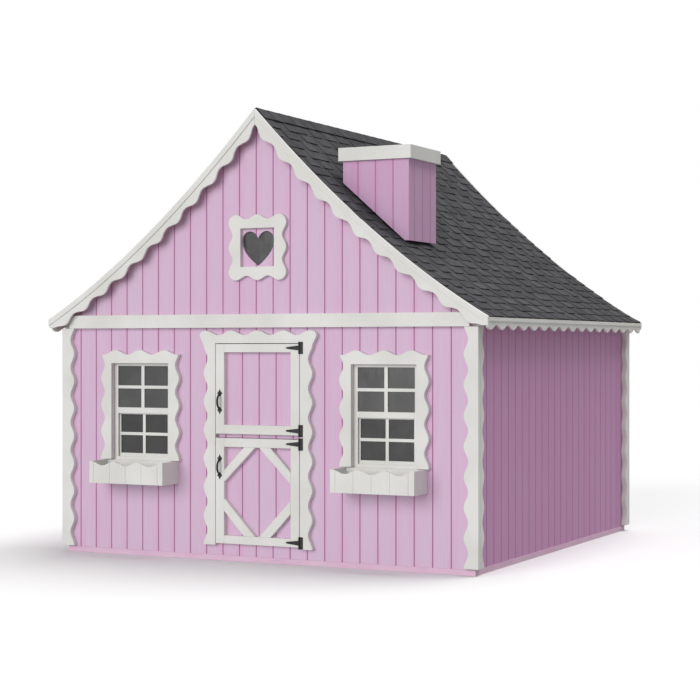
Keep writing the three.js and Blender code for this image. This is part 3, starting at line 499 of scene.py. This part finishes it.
# Painted shade: the side sidings take the darker side pink.
for node_name in ("siding_left", "siding_right"):
    finish_node(node_name, PINK_SIDE_PAINTED_SHADE)
for node_name in ("wall_frame_front", "wall_frame_back", "wall_frame_left", "wall_frame_right",
                  "floor_frame", "ridge_beam"):
    finish_node(node_name, TIMBER)
for node_name in ("floor_deck", "roof_sheathing_left", "roof_sheathing_right"):
    finish_node(node_name, SHEET)
for node_name in ("front_band", "chimney_cap", "flower_box_left", "flower_box_right"):
    finish_node(node_name, WHITE, BAND_EDGE)
for side in ("left", "right"):
    finish_node(f"window_frame_{side}", WHITE, FINE_EDGE)
    finish_node(f"lower_sash_{side}", WHITE, FINE_EDGE)
    # Painted reflection on the upper panes, painted shade on the lower panes.
    finish_node(f"upper_pane_{side}", PANE_PAINTED_REFLECTION)
    finish_node(f"lower_pane_{side}", PANE_PAINTED_SHADE)
# The heart pane takes the grey with the painted reflection.
finish_node("heart_pane", PANE_PAINTED_REFLECTION)
for place_name in ("upper_top", "upper_bottom", "lower_top", "lower_bottom"):
    finish_node(f"hinge_plate_{place_name}", IRON, IRON_EDGE)
    finish_node(f"hinge_strap_{place_name}", IRON, IRON_EDGE)


# ------------------------------------------------------------------ corner trims
CORNER_LOW = 1.35 * INCH
CORNER_WIDE = 3.15 * INCH
CORNER_SIDE_TOP = 51.2 * INCH
CORNER_CLEAR = 0.0006


def flipped(points, sign):
    return points if sign > 0 else mirrored(points)


def corner_trims():
    """Two boards at each corner, scalloped on the edge away from it."""
    high = BAND_LOW - GAP
    edge = [(CORNER_WIDE - scallop(z, CORNER_LOW), z) for z in steps(CORNER_LOW, high)]
    face = [(CORNER_X, CORNER_LOW), (CORNER_X, high)]
    face += [(CORNER_X - w, z) for w, z in reversed(edge)]
    outer = -HALF_DEPTH - TRIM
    start = outer + TRIM + CORNER_CLEAR
    side = [(start, CORNER_LOW)]
    side += [(outer + w, z) for w, z in edge]
    side += [(outer + edge[-1][0], CORNER_SIDE_TOP), (start, CORNER_SIDE_TOP)]
    for end, fy in (("front", 1), ("back", -1)):
        for name, fx in (("left", -1), ("right", 1)):
            node = f"corner_trim_{end}_{name}"
            low, top = sorted((fy * outer, fy * (-HALF_DEPTH - GAP)))
            piece = plank(f"{node}_face", flipped(face, fx), "front", low, top, WHITE)
            settle(piece, "cottage", "trim_paint", node)
            low, top = sorted((fx * (HALF_WIDTH + GAP), fx * CORNER_X))
            piece = plank(f"{node}_side", flipped(side, fy), "side", low, top, WHITE)
            settle(piece, "cottage", "trim_paint", node)


corner_trims()


# ------------------------------------------------------------------ rakes and fascias
RAKE_TOP = 0.0052
RAKE_CREST = 3.4 * INCH
RAKE_STRIP = 1.35 * INCH
STRIP_THICK = 0.006
RAKE_WAVE = 5.88 * INCH
RAKE_FIRST_CREST = 6 * INCH
RAKE_LOW = 49 * INCH
RAKE_STEP = 4.2 * INCH
ROOF_STEP = 12 * INCH
END_CLEAR = 0.002


def rake_point(x):
    """Point of the scalloped edge, square to the roof curve at x."""
    run = roof_run(x)
    straight = run < RAKE_FIRST_CREST - RAKE_WAVE / 2
    depth = RAKE_CREST - (WAVE_DEPTH if straight else scallop(run, RAKE_FIRST_CREST, RAKE_WAVE))
    turn = roof_turn(x)
    return x - depth * math.sin(turn), roof_top(x) - depth * math.cos(turn)


def rake_crossing(x):
    """Where the scalloped edge crosses the upright line at x, cut off level at RAKE_LOW."""
    foot = x
    for _ in range(40):
        foot += x - rake_point(foot)[0]
    return x, max(rake_point(foot)[1], RAKE_LOW)


def rake_boards():
    """A scalloped board and a plain outer strip under each end of both slopes."""
    low, high = GAP / 2, EAVE_X - GAP
    top = [(x, roof_under(x, RAKE_TOP)) for x in steps(low, high, ROOF_STEP)]
    edge = [rake_point(x) for x in steps(0, EAVE_X + RAKE_CREST, RAKE_STEP)]
    edge = [(x, max(z, RAKE_LOW)) for x, z in edge if low + END_CLEAR < x < high - END_CLEAR]
    strip_low = [(x, roof_under(x, RAKE_STRIP)) for x in steps(low, high, ROOF_STEP)]
    board = [rake_crossing(low)] + edge + [rake_crossing(high)] + top[::-1]
    strip = strip_low + top[::-1]
    for end, fy in (("front", 1), ("back", -1)):
        for name, fx in (("left", -1), ("right", 1)):
            node = f"rake_board_{end}_{name}"
            y0, y1 = sorted((fy * -(RAKE_Y - STRIP_THICK), fy * -(RAKE_Y - RAKE_THICK)))
            piece = plank(node + "_scalloped", flipped(board, fx), "front", y0, y1, WHITE)
            settle(piece, "cottage", "trim_paint", node)
            y0, y1 = sorted((fy * -RAKE_Y, fy * -(RAKE_Y - STRIP_THICK)))
            piece = plank(node + "_strip", flipped(strip, fx), "front", y0, y1, WHITE, STRIP_EDGE)
            settle(piece, "cottage", "trim_paint", node)


rake_boards()

FASCIA_THICK = 0.75 * INCH
FASCIA_STRIP_LOW = 49.85 * INCH
FASCIA_CREST = 48.15 * INCH
FASCIA_WAVE = 6.08 * INCH
FASCIA_FIRST_CREST = -HALF_DEPTH - 0.28 * INCH


def eave_fascias():
    """A scalloped board and a plain outer strip along each eave."""
    half = RAKE_Y - RAKE_THICK - GAP
    top = roof_under(EAVE_X, SHINGLE) - GAP
    edge = [(y, FASCIA_CREST + scallop(y, FASCIA_FIRST_CREST, FASCIA_WAVE))
            for y in steps(-half, half, FASCIA_WAVE)]
    board = edge + [(half, top), (-half, top)]
    for name, fx in (("left", -1), ("right", 1)):
        node = f"eave_fascia_{name}"
        x0, x1 = sorted((fx * (EAVE_X - FASCIA_THICK), fx * (EAVE_X - STRIP_THICK)))
        settle(plank(node + "_scalloped", board, "side", x0, x1, WHITE), "cottage", "trim_paint", node)
        x0, x1 = sorted((fx * (EAVE_X - STRIP_THICK), fx * EAVE_X))
        strip = plank(node + "_strip", rect(-half, half, FASCIA_STRIP_LOW, top), "side", x0, x1, WHITE,
                      STRIP_EDGE)
        settle(strip, "cottage", "trim_paint", node)


eave_fascias()


# ------------------------------------------------------------------ scalloped casings
# the upper corner of the door surround, in inches out from the door's middle and up from the ground
SURROUND_EAR = [(12.95, 45.3), (13.4, 46.2), (13.75, 46.8), (13.88, 47.35), (13.65, 47.85), (13.15, 48.12)]
HEADER_WAVE = 6.2 * INCH


def arch_trim(inner, low, open_top, side, top, side_crest, side_wave, leg_top, ear, across_from):
    """Outline of a casing: scalloped legs and header round an opening that is open below."""
    legs = [(side - scallop(z, side_crest, side_wave), z) for z in steps(low, leg_top, side_wave)]
    across = [(x, top - scallop(x, 0, HEADER_WAVE)) for x in steps(across_from, 0, HEADER_WAVE)]
    half = [(inner, low)] + legs + ear + across[:-1]
    return half + [(0, top)] + mirrored(half) + [(-inner, open_top), (inner, open_top)]


def casings():
    """The two window casings and the door surround."""
    box_low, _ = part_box("window_casing_left")
    top = 44.13 * INCH
    outline = arch_trim(inner=WINDOW_HALF, low=box_low.z, open_top=41.3 * INCH, side=9.9 * INCH, top=top,
                        side_crest=38.1 * INCH, side_wave=5.75 * INCH,
                        leg_top=top - WAVE_DEPTH - 0.3 * INCH, ear=[], across_from=9.78 * INCH)
    for name, x in WINDOWS.items():
        node = f"window_casing_{name}"
        piece = plank(node + "_board", outline, "front", -HALF_DEPTH - TRIM, -HALF_DEPTH - GAP, WHITE,
                      shift=(x, 0, 0))
        settle(piece, "cottage", "trim_paint", node)
    ear = [(x * INCH, z * INCH) for x, z in SURROUND_EAR]
    outline = arch_trim(inner=LEAF_HALF + DOOR_CLEAR, low=3.3 * INCH, open_top=LEAF_TOP + DOOR_CLEAR,
                        side=12.9 * INCH, top=48.25 * INCH, side_crest=39.35 * INCH, side_wave=WAVE,
                        leg_top=44.5 * INCH, ear=ear, across_from=12.6 * INCH)
    piece = plank("door_surround_board", outline, "front", -HALF_DEPTH - TRIM, -HALF_DEPTH - GAP, WHITE,
                  shift=(DOOR_X, 0, 0))
    settle(piece, "cottage", "trim_paint", "door_surround")


casings()


def heart_trim():
    """A square board with scalloped sides and a square opening, one quarter turn at a time."""
    half = 6.85 * INCH
    opening = 3.98 * INCH
    wave = 5.1 * INCH
    thick = 0.9 * INCH
    place = (-0.33 * INCH, 0, 65.5 * INCH)
    reach = half - 0.75 * INCH
    square = reach - 0.5 * INCH
    outer, inner = [], []
    for quarter in range(4):
        turn = quarter * math.pi / 2
        cos, sin = math.cos(turn), math.sin(turn)
        for u in steps(-reach, reach, wave):
            v = -half + scallop(u, 0, wave)
            outer.append((u * cos - v * sin, u * sin + v * cos))
            w = max(-opening, min(opening, u * opening / square))
            inner.append((w * cos + opening * sin, w * sin - opening * cos))
    piece = framed_plank("heart_trim_board", outer, inner, "front", -HALF_DEPTH - thick,
                         -HALF_DEPTH - GAP, WHITE, shift=place)
    settle(piece, "cottage", "trim_paint", "heart_trim")


heart_trim()


# ------------------------------------------------------------------ door leaves
LEAF_BOARD = 2 * INCH
SEAM = 0.0004


def leaf_boards(body, node, low, high, rail_low, rail_high):
    """Two stiles and two rails of a leaf, as separate boards."""
    inner = LEAF_HALF - LEAF_BOARD
    boards = {
        "stile_left": rect(-LEAF_HALF, -inner, low, high),
        "stile_right": rect(inner, LEAF_HALF, low, high),
        "rail_low": rect(-inner + SEAM, inner - SEAM, low, low + rail_low),
        "rail_high": rect(-inner + SEAM, inner - SEAM, high - rail_high, high),
    }
    for name, outline in boards.items():
        piece = plank(f"{node}_{name}", outline, "front", -HALF_DEPTH - TRIM, -HALF_DEPTH - GAP, WHITE,
                      FINE_EDGE, (DOOR_X, 0, 0))
        settle(piece, body, "trim_paint", node)


def leaf_braces(body, node):
    """Four diagonal boards that leave a diamond round the middle of the leaf."""
    inner = LEAF_HALF - LEAF_BOARD - SEAM
    low, high = 5.4 * INCH + SEAM, 23.93 * INCH - SEAM
    near, far = 0.5 * INCH, 3.15 * INCH
    upper_far, upper_near = 19 * INCH, 16.6 * INCH
    lower_near, lower_far = 13.2 * INCH, 10.5 * INCH
    upper = [(near, high), (far, high), (inner, upper_far), (inner, upper_near)]
    lower = [(far, low), (near, low), (inner, lower_near), (inner, lower_far)]
    for name, outline in (("upper_right", upper), ("lower_right", lower),
                          ("upper_left", mirrored(upper)), ("lower_left", mirrored(lower))):
        piece = plank(f"{node}_brace_{name}", outline, "front", -HALF_DEPTH - TRIM, -HALF_DEPTH - GAP,
                      WHITE, FINE_EDGE, (DOOR_X, 0, 0))
        settle(piece, body, "trim_paint", node)


leaf_boards("upper_leaf", "upper_leaf_frame", low=26.65 * INCH, high=LEAF_TOP,
            rail_low=1.9 * INCH, rail_high=1.75 * INCH)
leaf_boards("lower_leaf", "lower_leaf_frame", low=3.7 * INCH, high=25.78 * INCH,
            rail_low=1.7 * INCH, rail_high=1.85 * INCH)
leaf_braces("lower_leaf", "lower_leaf_frame")


# ------------------------------------------------------------------ shingles
COURSES = 24
EXPOSURE = ROOF_LENGTH / COURSES
LAP = 0.012
SHEET_THICK = 0.0012
SHEET_HEAD_THICK = 0.0006
SHEET_BUTT = 0.0058
SHEET_HEAD = 0.0082
TAB_BUTT = 0.0016
TAB_HEAD = 0.0070
FIRST_HEAD = 0.003
STRIP_LENGTHS = (0.35, 0.9)
STRIP_LEAST = 0.1
STRIP_GAP = 0.0008
STRIP_TONES = (0.25, 0.6)
TAB_SHIFT = 0.1
TAB_LEAST = 0.03
TAB_WIDTHS = (0.08, 0.125)
TAB_STRETCHES = (1, 1, 1, 1, 1.7)
TAB_SPACES = (0.05, 0.095)
TAB_TONES = (0.0, 1.0)
TAB_LIP = 0.003
TAB_LIFT = 0.0009
TAB_TAPER = 0.002


def roof_point(run, depth, y, sign):
    """Point a depth under the roof curve, kept inside the eave line."""
    x = roof_x(run)
    turn = roof_turn(x)
    across = min(x - depth * math.sin(turn), EAVE_X)
    return (sign * across, y, roof_top(x) - depth * math.cos(turn))


def wedge(verts, faces, tones, tone, sign, run0, run1, y0, y1, upper, lower, inset=0.0):
    """One shingle patch from its head (run0) to its butt (run1); upper and lower are the depths
    of its two surfaces at head and butt."""
    a = len(verts)
    for end, run in ((0, run0), (1, run1)):
        for y in (y0 + inset * end, y1 - inset * end):
            for depth in (upper[end], lower[end]):
                verts.append(roof_point(run, depth, y, sign))
                tones.append(tone)
    faces += [[a, a + 2, a + 6, a + 4], [a + 1, a + 5, a + 7, a + 3], [a + 4, a + 6, a + 7, a + 5],
              [a, a + 1, a + 3, a + 2], [a, a + 4, a + 5, a + 1], [a + 2, a + 3, a + 7, a + 6]]


def add_tones(piece, tones):
    attribute = piece.data.attributes.new("tone", "FLOAT", "POINT")
    attribute.data.foreach_set("value", tones)


def shingle_courses():
    """Laminated shingles: a sheet in each course, cut into strips, with random tabs on it. The
    course at the eave has no lip, so that it stays inside the eave line."""
    rng = random.Random(SEED)
    half = RAKE_Y - RAKE_THICK - GAP
    sheet_upper = (SHEET_HEAD, SHEET_BUTT)
    sheet_lower = (SHEET_HEAD + SHEET_HEAD_THICK, SHEET_BUTT + SHEET_THICK)
    for name, sign in (("left", -1), ("right", 1)):
        for course in range(COURSES):
            butt = ROOF_LENGTH - course * EXPOSURE
            head = max(FIRST_HEAD, butt - EXPOSURE - LAP)
            verts, faces, tones = [], [], []
            y = -half
            while y < half:
                end = min(half, y + rng.uniform(*STRIP_LENGTHS))
                if half - end < STRIP_LEAST:
                    end = half
                tone = rng.uniform(*STRIP_TONES)
                wedge(verts, faces, tones, tone, sign, head, butt, y, end - STRIP_GAP,
                      sheet_upper, sheet_lower)
                y = end
            y = -half + rng.uniform(-TAB_SHIFT, TAB_SHIFT)
            while y < half - TAB_LEAST:
                end = min(half, y + rng.choice(TAB_STRETCHES) * rng.uniform(*TAB_WIDTHS))
                lip = rng.uniform(0, TAB_LIP) * (course > 0)
                lift = rng.uniform(0, TAB_LIFT)
                tone = rng.uniform(*TAB_TONES)
                wedge(verts, faces, tones, tone, sign, head, butt + lip, max(-half, y), end,
                      (TAB_HEAD, TAB_BUTT - lift), (SHEET_HEAD, SHEET_BUTT), TAB_TAPER)
                y = end + rng.uniform(*TAB_SPACES)
            piece = link(f"shingle_course_{name}_{course + 1:02d}", verts, faces, GRANULES, False)
            fix_normals(piece)
            add_tones(piece, tones)
            settle(piece, "cottage", "shingles", f"shingles_{name}")


shingle_courses()


def ridge_cap():
    """Folded cap shingles over the ridge; each one's front end lies over the back end of the last."""
    rng = random.Random(SEED + 1)
    half = RAKE_Y - RAKE_THICK - GAP
    reach = 3.1 * INCH
    pitch = 4.6 * INCH
    lap = 0.012
    fold = 0.004
    thick = 0.0024
    rise = 0.0018
    least = 0.02
    verts, faces, tones = [], [], []
    y = -half
    ring = [0, 2, 4, 6, 7, 5, 3, 1]  # the way round the eight points of one end
    while y < half - least:
        end = min(half, y + pitch + lap)
        tone = rng.uniform(0.3, 0.8)
        start = len(verts)
        for along, lift in ((y, rise), (end, 0)):
            for run in (-reach, -fold, fold, reach):
                for drop in (0, thick):
                    side = -1 if run < 0 else 1
                    verts.append(roof_point(abs(run), drop - lift, along, side))
                    tones.append(tone)
        faces.append([start + i for i in ring])
        faces.append([start + 8 + i for i in reversed(ring)])
        for i in range(8):
            a, b = ring[i], ring[(i + 1) % 8]
            faces.append([start + b, start + a, start + 8 + a, start + 8 + b])
        y += pitch
    piece = link("ridge_cap_shingles", verts, faces, GRANULES, False)
    fix_normals(piece)
    add_tones(piece, tones)
    settle(piece, "cottage", "shingles")


ridge_cap()


# ------------------------------------------------------------------ pulls
def swept(name, path, radii, material, sides=14):
    """A round bar along a path in the YZ plane, with its own radius at each point."""
    verts, faces = [], []
    for i, point in enumerate(path):
        before, after = path[max(0, i - 1)], path[min(len(path) - 1, i + 1)]
        tangent = (Vector(after) - Vector(before)).normalized()
        across = Vector((1, 0, 0))
        up = tangent.cross(across).normalized()
        for k in range(sides):
            turn = 2 * math.pi * k / sides
            verts.append(Vector(point) + radii[i] * (math.cos(turn) * across + math.sin(turn) * up))
    last = len(path) - 1
    for i in range(last):
        for k in range(sides):
            a, b = i * sides + k, i * sides + (k + 1) % sides
            faces.append([a, b, b + sides, a + sides])
    faces.append(list(range(sides))[::-1])
    faces.append([last * sides + k for k in range(sides)])
    piece = link(name, verts, faces, material)
    fix_normals(piece)
    return piece


def spade_outline(tall, sign):
    """A spade-shaped foot: narrow neck towards the grip, wide shoulders, pointed end."""
    half = [(0.17, -0.62), (0.2, -0.45), (0.32, -0.3), (0.48, -0.16), (0.57, 0.0), (0.52, 0.14),
            (0.38, 0.27), (0.23, 0.4), (0.13, 0.58), (0.0, 0.9)]
    right = [(u * INCH, tall + v * INCH) for u, v in half]
    outline = right + [(-u, v) for u, v in reversed(right[:-1])]
    return [(u, sign * v) for u, v in outline] if sign > 0 else [(u, -v) for u, v in reversed(outline)]


def pull_handles():
    """A bowed grip between two spade feet on each leaf."""
    face = -HALF_DEPTH - TRIM - GAP
    x = DOOR_X - 8.9 * INCH
    foot_thick = 0.003
    foot_at = 1.75 * INCH
    grip_half = 1.55 * INCH
    grip_out = 1.3 * INCH - 0.0085
    grip_thin, grip_swell = 0.0046, 0.0009
    count = 28
    for name, mid in (("upper", 33.37 * INCH), ("lower", 19.7 * INCH)):
        node = f"pull_handle_{name}"
        body = f"{name}_leaf"
        for end, sign in (("top", 1), ("bottom", -1)):
            foot = plank(f"{node}_foot_{end}", spade_outline(foot_at, sign), "front",
                         face - foot_thick, face, IRON, PULL_EDGE, (x, 0, mid))
            settle(foot, body, "black_iron", node)
        path, radii = [], []
        for i in range(count + 1):
            t = -1 + 2 * i / count
            bow = (1 - abs(t) ** 2.6) ** 0.85
            path.append((x, face - foot_thick - grip_out * bow, mid + t * grip_half))
            radii.append(grip_thin + grip_swell * (1 - t * t))
        settle(swept(f"{node}_grip", path, radii, IRON), body, "black_iron", node)


pull_handles()


def dome(name, x, face, z, radius, height):
    """A low dome that stands out from a face towards the front."""
    rings, sides = 4, 12
    verts, faces = [], []
    for ring in range(rings):
        tilt = math.pi / 2 * ring / rings
        around = radius * math.cos(tilt)
        out = height * math.sin(tilt)
        for k in range(sides):
            turn = 2 * math.pi * k / sides
            verts.append((x + around * math.cos(turn), face - out, z + around * math.sin(turn)))
    verts.append((x, face - height, z))
    for ring in range(rings - 1):
        for k in range(sides):
            a, b = ring * sides + k, ring * sides + (k + 1) % sides
            faces.append([a, b, b + sides, a + sides])
    top = (rings - 1) * sides
    faces += [[top + k, top + (k + 1) % sides, len(verts) - 1] for k in range(sides)]
    faces.append(list(range(sides))[::-1])
    piece = link(name, verts, faces, IRON)
    fix_normals(piece)
    return piece


def screw_heads():
    """Small domed screws, three on each hinge plate and three on each strap."""
    plate_thick = 0.0025
    radius, height = 0.0036, 0.0016
    face = -HALF_DEPTH - TRIM - GAP - plate_thick
    axis_x = DOOR_X + LEAF_HALF + DOOR_CLEAR / 2
    plate_x = axis_x + 0.52 * INCH
    for name in ("upper_top", "upper_bottom", "lower_top", "lower_bottom"):
        low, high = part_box(f"hinge_plate_{name}")
        mid = (low.z + high.z) / 2
        spots = [(plate_x, mid + dz * INCH, "cottage") for dz in (-0.95, 0, 0.95)]
        leaf = name.split("_")[0] + "_leaf"
        spots += [(axis_x - dx * INCH, mid, leaf) for dx in (0.75, 1.55, 2.35)]
        for count, (x, z, body) in enumerate(spots, 1):
            piece = dome(f"hinge_screw_{name}_{count}", x, face, z, radius, height)
            settle(piece, body, "black_iron")


screw_heads()


# ------------------------------------------------------------------ back belt board
def back_band():
    """The same belt board on the back, with its upper corners cut off."""
    low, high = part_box("front_band")
    nick = 0.7 * INCH
    end = [(high.x, low.z), (high.x, high.z - nick), (high.x - nick, high.z)]
    piece = plank("back_band", end + mirrored(end), "front", -high.y, -low.y, WHITE)
    settle(piece, "cottage", "trim_paint")


back_band()


# ------------------------------------------------------------------ stage, light and camera
def make_stage():
    """A wide pale floor just under the sill; it sends no light back onto the walls."""
    mesh = bpy.data.meshes.new("floor")
    size = 60
    drop = 0.0005
    verts = [(x, y, -drop) for x, y in rect(-size, size, -size, size)]
    mesh.from_pydata(verts, [], [[0, 1, 2, 3]])
    n = Nodes("floor")
    n.set(Base_Color=(0.86, 0.86, 0.86, 1), Roughness=0.9)
    mesh.materials.append(n.material)
    floor = bpy.data.objects.new("floor", mesh)
    bpy.context.scene.collection.objects.link(floor)
    floor.visible_diffuse = False


def make_world():
    """White to the camera, and a weaker white as light."""
    world = bpy.data.worlds.new("studio")
    bpy.context.scene.world = world
    world.use_nodes = True
    tree = world.node_tree
    tree.nodes.clear()
    out = tree.nodes.new("ShaderNodeOutputWorld")
    seen = tree.nodes.new("ShaderNodeBackground")
    seen.inputs["Strength"].default_value = 1.0
    light = tree.nodes.new("ShaderNodeBackground")
    light.inputs["Strength"].default_value = 0.34
    path = tree.nodes.new("ShaderNodeLightPath")
    mix = tree.nodes.new("ShaderNodeMixShader")
    tree.links.new(path.outputs["Is Camera Ray"], mix.inputs[0])
    tree.links.new(light.outputs[0], mix.inputs[1])
    tree.links.new(seen.outputs[0], mix.inputs[2])
    tree.links.new(mix.outputs[0], out.inputs["Surface"])
    for node in (seen, light):
        node.inputs["Color"].default_value = (1, 1, 1, 1)


def make_sun(name, azimuth, elevation, strength, spread):
    """A wide soft sun; azimuth turns from straight ahead of the door towards the left."""
    lamp = bpy.data.lights.new(name, "SUN")
    lamp.energy = strength
    lamp.angle = math.radians(spread)
    sun = bpy.data.objects.new(name, lamp)
    bpy.context.scene.collection.objects.link(sun)
    a, e = math.radians(azimuth), math.radians(elevation)
    toward = Vector((-math.sin(a) * math.cos(e), -math.cos(a) * math.cos(e), math.sin(e)))
    sun.rotation_euler = toward.to_track_quat("Z", "Y").to_euler()


CAMERA_AT = (4.504, -9.265, 1.137)
CAMERA_AZIMUTH = 26.302
CAMERA_LENS = 89.73


def make_camera():
    camera = bpy.data.cameras.new("camera")
    camera.lens = CAMERA_LENS
    camera.sensor_width = 36
    camera.shift_y = -0.004
    camera.clip_end = 200
    rig = bpy.data.objects.new("camera", camera)
    rig.location = CAMERA_AT
    rig.rotation_euler = (math.radians(90), 0, math.radians(CAMERA_AZIMUTH))
    bpy.context.scene.collection.objects.link(rig)
    bpy.context.scene.camera = rig


make_stage()
make_world()
make_sun("key", 8, 15, 1.84, 44)
make_sun("overhead", -152, 68, 2.5, 46)
make_camera()
bpy.context.scene.view_settings.view_transform = "Standard"
